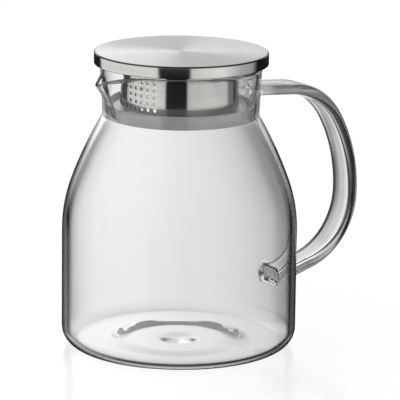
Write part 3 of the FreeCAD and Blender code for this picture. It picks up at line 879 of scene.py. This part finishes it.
def brushed_steel(name, side_roughness, top_roughness, line_strength):
    """Stainless steel with rings brushed round the axis, coarser on faces that look up."""
    material, tree, output = new_material(name)
    lines = brushed_lines(tree, LINE_FINENESS)
    normal = add_node(tree, "ShaderNodeTexCoord").outputs["Normal"]
    flatness = math_node(tree, "ABSOLUTE", split_node(tree, normal)[2])
    # Painted shade: the rolled edges are darkened in the steel's colour
    edge_shaded_steel = mix_node(tree, 1.0, STEEL_COLOUR, ramp_node(tree, flatness, EDGE_PAINTED_SHADE), "MULTIPLY")
    streaks = ramp_node(tree, brushed_lines(tree, STREAK_FINENESS), STREAK_SHADE)
    coarse = range_node(tree, flatness, 0.0, 1.0, side_roughness, top_roughness)
    uneven = math_node(tree, "MULTIPLY_ADD", lines, LINE_SHARE, LEAST_SHARE)
    shader = add_node(tree, "ShaderNodeBsdfPrincipled")
    feed_all(tree, shader, {
        "Base Color": mix_node(tree, 1.0, edge_shaded_steel, streaks, "MULTIPLY"),
        "Metallic": 1.0,
        "Roughness": math_node(tree, "MULTIPLY", coarse, uneven),
        "Anisotropic": BRUSH_ANISOTROPY,
        "Anisotropic Rotation": BRUSH_TURN,
        "Normal": bump_node(tree, lines, line_strength, BRUSH_DEPTH),
    })
    tree.links.new(shader.outputs[0], output.inputs["Surface"])
    return material


lid_steel = brushed_steel("lid_steel", side_roughness=0.15, top_roughness=0.24, line_strength=0.15)
sleeve_steel = brushed_steel("sleeve_steel", side_roughness=0.10, top_roughness=0.25, line_strength=0.12)
print("steel finishes:", lid_steel.name, sleeve_steel.name)

# %% [markdown]
# The lid
#
# The cap is drawn from a disc: its edge rolls over a small radius into a short skirt. A shallow pan is
# pressed into it from below. Both are turned forms, so each is one outline spun round the axis. The
# outline is closed, which gives the sheet its thickness. Edges sharper than a set angle stay sharp, so
# that flat sheet shades flat.

# %% A tool that spins an outline round the axis
SPUN_COLUMNS = 192
SHARP_ANGLE = math.radians(35.0)
ON_AXIS = 1e-6


def spun(name, outline, material):
    """Ring or disc from a closed outline in millimetres. Points on the axis become poles."""
    work = bmesh.new()
    angles = [2 * math.pi * k / SPUN_COLUMNS for k in range(SPUN_COLUMNS)]
    loops = []
    for radius, height in outline:
        around = angles if radius > ON_AXIS else [0.0]
        reach = radius * MM
        rise = height * MM
        loops.append([work.verts.new((reach * math.cos(a), reach * math.sin(a), rise)) for a in around])
    for here, after in zip(loops, loops[1:] + loops[:1]):
        if len(here) == 1 and len(after) == 1:
            continue
        for k in range(SPUN_COLUMNS):
            low = [here[k % len(here)], here[(k + 1) % len(here)]]
            high = [after[(k + 1) % len(after)], after[k % len(after)]]
            work.faces.new(list(dict.fromkeys(low + high)))
    mesh = smooth_mesh(name, work)
    mesh.set_sharp_from_angle(angle=SHARP_ANGLE)
    return new_object(name, mesh, material)


print("columns of a spun piece:", SPUN_COLUMNS)

# %% Spin the cap
LID_RADIUS = 51.5
LID_EDGE = 1.2
LID_SHEET = 0.8
HEM = 0.35
MIDDLE_SHARE = 0.12
EDGE_STEPS = 8
INNER_STEPS = 5

skirt_bottom, lid_top = (corner.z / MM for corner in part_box("lid_cap"))
edge_centre = (LID_RADIUS - LID_EDGE, lid_top - LID_EDGE)
cap_inside = LID_RADIUS - LID_SHEET
cap_outline = [(0.0, lid_top), (MIDDLE_SHARE * LID_RADIUS, lid_top), (edge_centre[0], lid_top)]
cap_outline += arc_points(edge_centre, LID_EDGE, 90, 0, EDGE_STEPS)
cap_outline += [(LID_RADIUS, skirt_bottom + HEM)]
cap_outline += arc_points((LID_RADIUS - HEM, skirt_bottom + HEM), HEM, 0, -90, INNER_STEPS)
cap_outline += [(cap_inside, skirt_bottom), (cap_inside, edge_centre[1])]
cap_outline += arc_points(edge_centre, LID_EDGE - LID_SHEET, 0, 90, INNER_STEPS)
cap_outline += [(0.0, lid_top - LID_SHEET)]
lid_cap = spun("steel_cap", cap_outline, lid_steel)
print("lid from", round(skirt_bottom, 2), "to", round(lid_top, 2))

# %% Spin the pan
PAN_SHEET = 0.6
PAN_CORNER = 1.0
PAN_STEPS = 6
PRESS_GAP = 0.05

pan_bottom, pan_top = (corner.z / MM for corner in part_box("lid_underplate"))
pan_radius = cap_inside - PRESS_GAP
corner_centre = (pan_radius - PAN_CORNER, pan_bottom + PAN_CORNER)
pan_outline = [(0.0, pan_bottom), (corner_centre[0], pan_bottom)]
pan_outline += arc_points(corner_centre, PAN_CORNER, -90, 0, PAN_STEPS)
pan_outline += [(pan_radius, pan_top), (pan_radius - PAN_SHEET, pan_top)]
pan_outline += [(pan_radius - PAN_SHEET, corner_centre[1])]
pan_outline += arc_points(corner_centre, PAN_CORNER - PAN_SHEET, 0, -90, INNER_STEPS)
pan_outline += [(0.0, pan_bottom + PAN_SHEET)]
lid_pan = spun("steel_pan", pan_outline, lid_steel)

for piece, node in ((lid_cap, "lid_cap"), (lid_pan, "lid_underplate")):
    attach(piece, "lid")
    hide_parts(node)
print("pan from", round(pan_bottom, 2), "to", round(pan_top, 2))

# %% [markdown]
# The strainer sleeve
#
# The sleeve is a steel tube with a flange above, a turned lip below and a field of punched holes on the
# spout's side. Cutting 45 holes by hand would be slow and would have to be done again for another
# pitch. Geometry Nodes do it as the factory does: a grid of points is rolled round the tube, a round
# punch stands on every point, and one boolean takes all punches out of the tube. The tree's inputs are
# the hole's size, pitch and count.

# %% Spin the plain tube
SLEEVE_RADIUS = 34.2
SLEEVE_SHEET = 0.6
SLEEVE_FLANGE = 4.0
SLEEVE_LIP = 1.2
FLANGE_BEND = 0.8

sleeve_bottom, sleeve_top = (corner.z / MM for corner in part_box("strainer_sleeve"))
sleeve_bore = SLEEVE_RADIUS - SLEEVE_SHEET
lip_radius = SLEEVE_RADIUS + SLEEVE_LIP
lip_top = sleeve_bottom + SLEEVE_SHEET
flange_radius = SLEEVE_RADIUS + SLEEVE_FLANGE
flange_bottom = sleeve_top - SLEEVE_SHEET
bend_centre = (SLEEVE_RADIUS + FLANGE_BEND, flange_bottom - FLANGE_BEND)
sleeve_outline = [(sleeve_bore, sleeve_bottom), (lip_radius, sleeve_bottom), (lip_radius, lip_top)]
sleeve_outline += [(SLEEVE_RADIUS, lip_top), (SLEEVE_RADIUS, bend_centre[1])]
sleeve_outline += arc_points(bend_centre, FLANGE_BEND, 180, 90, INNER_STEPS)
sleeve_outline += [(flange_radius, flange_bottom), (flange_radius, sleeve_top), (sleeve_bore, sleeve_top)]
sleeve = spun("strainer_tube", sleeve_outline, sleeve_steel)
print("sleeve from", round(sleeve_bottom, 2), "to", round(sleeve_top, 2))

# %% A tree that punches holes
HOLE_SIDES = 20


def punching_sockets(tree):
    """Make the tree's sockets. Gives back the values given to the tree, and its output node."""
    kinds = {
        "Geometry": "Geometry", "Rows": "Int", "Columns": "Int", "Pitch": "Float", "Column Angle": "Float",
        "First Row": "Float", "Tube Radius": "Float", "Hole Diameter": "Float", "Material": "Material",
    }
    for name, kind in kinds.items():
        tree.interface.new_socket(name, in_out="INPUT", socket_type="NodeSocket" + kind)
    tree.interface.new_socket("Geometry", in_out="OUTPUT", socket_type="NodeSocketGeometry")
    return add_node(tree, "NodeGroupInput").outputs, add_node(tree, "NodeGroupOutput")


def rolled_points(tree, given):
    """A flat grid with one point per hole, rolled round the tube, with the way each punch points."""
    last_column = math_node(tree, "SUBTRACT", given["Columns"], 1.0)
    last_row = math_node(tree, "SUBTRACT", given["Rows"], 1.0)
    grid = add_node(tree, "GeometryNodeMeshGrid")
    feed_all(tree, grid, {"Size X": last_column, "Size Y": last_row})
    feed_all(tree, grid, {"Vertices X": given["Columns"], "Vertices Y": given["Rows"]})

    # On the grid X counts columns and Y counts rows. The middle column lies on the spout's side
    spot = add_node(tree, "GeometryNodeInputPosition").outputs[0]
    column, row = split_node(tree, spot)[:2]
    angle = math_node(tree, "MULTIPLY", column, given["Column Angle"])
    row = math_node(tree, "ADD", row, math_node(tree, "MULTIPLY", last_row, 0.5))
    reach = math_node(tree, "MULTIPLY", given["Tube Radius"], -1.0)
    rolled = add_node(tree, "ShaderNodeCombineXYZ")
    feed_all(tree, rolled, {
        "X": math_node(tree, "MULTIPLY", math_node(tree, "COSINE", angle), reach),
        "Y": math_node(tree, "MULTIPLY", math_node(tree, "SINE", angle), reach),
        "Z": math_node(tree, "ADD", math_node(tree, "MULTIPLY", row, given["Pitch"]), given["First Row"]),
    })

    # Each punch lies on its side and points at the axis. The angle is kept from before the rolling
    aim = add_node(tree, "ShaderNodeCombineXYZ")
    feed_all(tree, aim, {"Y": math.pi / 2, "Z": angle})
    kept = add_node(tree, "GeometryNodeCaptureAttribute", domain="POINT")
    kept.capture_items.new("VECTOR", "Aim")
    feed_all(tree, kept, {"Geometry": grid.outputs["Mesh"], "Aim": aim.outputs[0]})
    roll_up = add_node(tree, "GeometryNodeSetPosition")
    feed_all(tree, roll_up, {"Geometry": kept.outputs["Geometry"], "Position": rolled.outputs[0]})
    return roll_up.outputs[0], kept.outputs["Aim"]


def punching_tree():
    """Tree that takes a rolled grid of round holes out of a tube."""
    tree = bpy.data.node_groups.new("punched_holes", "GeometryNodeTree")
    given, leave = punching_sockets(tree)
    points, aim = rolled_points(tree, given)
    punch = add_node(tree, "GeometryNodeMeshCylinder")
    punch_radius = math_node(tree, "MULTIPLY", given["Hole Diameter"], 0.5)
    feed_all(tree, punch, {"Vertices": HOLE_SIDES, "Radius": punch_radius, "Depth": given["Hole Diameter"]})
    stand = add_node(tree, "GeometryNodeInstanceOnPoints")
    feed_all(tree, stand, {"Points": points, "Instance": punch.outputs["Mesh"], "Rotation": aim})
    punches = add_node(tree, "GeometryNodeRealizeInstances")
    tree.links.new(stand.outputs[0], punches.inputs[0])
    cut = add_node(tree, "GeometryNodeMeshBoolean", operation="DIFFERENCE", solver="EXACT")
    feed_all(tree, cut, {"Mesh 1": given["Geometry"], "Mesh 2": punches.outputs[0]})
    whole = add_node(tree, "GeometryNodeRealizeInstances")
    tree.links.new(cut.outputs["Mesh"], whole.inputs[0])
    finish = add_node(tree, "GeometryNodeSetMaterial")
    feed_all(tree, finish, {"Geometry": whole.outputs[0], "Material": given["Material"]})
    tree.links.new(finish.outputs[0], leave.inputs["Geometry"])
    return tree


punched_holes = punching_tree()
print("nodes in the punching tree:", len(punched_holes.nodes))

# %% Punch the holes
HOLE_ROWS = 5
HOLE_COLUMNS = 9
HOLE_DIAMETER = 2.3
HOLE_PITCH = 3.95
HOLE_ANGLE = math.radians(7.5)
HOLE_ABOVE_SEAL = 0.8

seal_bottom, seal_top = (corner.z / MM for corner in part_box("silicone_seal"))


def apply_tree(piece, tree, values):
    """Run a tree on a piece with named values, and leave the result as its plain mesh."""
    modifier = piece.modifiers.new(tree.name, "NODES")
    modifier.node_group = tree
    for item in tree.interface.items_tree:
        if item.in_out == "INPUT" and item.name in values:
            modifier[item.identifier] = values[item.name]
    evaluated = piece.evaluated_get(bpy.context.evaluated_depsgraph_get())
    mesh = bpy.data.meshes.new_from_object(evaluated)
    piece.modifiers.clear()
    piece.data = mesh
    return mesh


sleeve_mesh = apply_tree(sleeve, punched_holes, {
    "Rows": HOLE_ROWS,
    "Columns": HOLE_COLUMNS,
    "Pitch": HOLE_PITCH * MM,
    "Column Angle": HOLE_ANGLE,
    "First Row": (seal_top + HOLE_ABOVE_SEAL) * MM,
    "Tube Radius": SLEEVE_RADIUS * MM,
    "Hole Diameter": HOLE_DIAMETER * MM,
    "Material": sleeve_steel,
})
sleeve_mesh.shade_smooth()
sleeve_mesh.set_sharp_from_angle(angle=SHARP_ANGLE)
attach(sleeve, "lid")
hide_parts("strainer_sleeve")
print("holes:", HOLE_ROWS * HOLE_COLUMNS, "faces in the sleeve:", len(sleeve_mesh.polygons))

# %% [markdown]
# The silicone ring
#
# The ring is moulded from clear silicone. It is soft and a little milky, with clouds where the rubber
# is denser, and its surface is satin, because the mould is. Its upper face is painted paler, as painted
# light. It could be a plain ring, but a moulded part has rounded edges and a raised outer lip that wipes
# the glass, so its outline has a small bend at every corner that shows.

# %% Make the silicone
SILICONE_INDEX = 1.41
SILICONE_CLEARNESS = 0.65
SILICONE_THIN = (0.57, 0.57, 0.565, 1.0)
SILICONE_MILKY = (0.69, 0.69, 0.68, 1.0)
SILICONE_PAINTED_LIGHT = (0.97, 0.97, 0.965, 1.0)
SATIN = (0.03, 0.10)
UPPER_FACE_LIT = (0.3, 0.8)
CLOUD_SCALE = 140.0
CLOUD_DETAIL = 3.0

milky_silicone, tree, output = new_material("milky_silicone")
surface = add_node(tree, "ShaderNodeTexCoord")
cloud = add_node(tree, "ShaderNodeTexNoise")
feed_all(tree, cloud, {"Vector": surface.outputs["Object"], "Scale": CLOUD_SCALE, "Detail": CLOUD_DETAIL})
milk = mix_node(tree, cloud.outputs["Fac"], SILICONE_THIN, SILICONE_MILKY)
# Painted light: the upper face is painted paler, standing in for the light it gets through the glass
upwards = split_node(tree, surface.outputs["Normal"])[2]
painted_top_light = range_node(tree, upwards, *UPPER_FACE_LIT)
shader = add_node(tree, "ShaderNodeBsdfPrincipled")
feed_all(tree, shader, {
    "Base Color": mix_node(tree, painted_top_light, milk, SILICONE_PAINTED_LIGHT),
    "Roughness": range_node(tree, cloud.outputs["Fac"], 0.0, 1.0, *SATIN),
    "IOR": SILICONE_INDEX,
    "Transmission Weight": SILICONE_CLEARNESS,
})
tree.links.new(shader.outputs[0], output.inputs["Surface"])
print("nodes in the silicone:", len(tree.nodes))

# %% Spin the ring
SEAL_BORE_GAP = 0.05
SEAL_NECK_GAP = 0.2
SEAL_LIP_HEIGHT = 3.0
SEAL_LIP_WIDTH = 1.2
SEAL_LIP_FALL = 0.1
SEAL_COLLAR = 4.4
SEAL_ROUND = 0.5

seal_bore = SLEEVE_RADIUS + SEAL_BORE_GAP
inner_taper = (RIM_RADIUS - NECK_RADIUS) / (RIM_HEIGHT - neck_foot(WALL))
foot_radius = NECK_RADIUS - WALL - SEAL_NECK_GAP
mouth_radius = foot_radius + inner_taper * (seal_top - neck_foot(WALL))
seal_floor = seal_top - SEAL_LIP_HEIGHT
foot_end = (foot_radius, seal_bottom + SEAL_ROUND)
mouth_end = (mouth_radius - SEAL_ROUND, seal_top)
seal_outline = [(seal_bore, seal_bottom), (foot_radius - SEAL_ROUND, seal_bottom)]
seal_outline += bend_points(seal_outline[-1], (foot_radius, seal_bottom), foot_end, INNER_STEPS)
seal_outline += [(mouth_radius, seal_top - SEAL_ROUND)]
seal_outline += bend_points(seal_outline[-1], (mouth_radius, seal_top), mouth_end, INNER_STEPS)
seal_outline += [(mouth_radius - SEAL_LIP_WIDTH, seal_top - SEAL_LIP_FALL)]
seal_outline += [(seal_bore + SEAL_COLLAR, seal_floor), (seal_bore, seal_floor)]
seal = spun("silicone_ring", seal_outline, milky_silicone)
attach(seal, "seal")
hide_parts("silicone_seal")
print("ring from", round(seal_bottom, 2), "to", round(seal_top, 2))
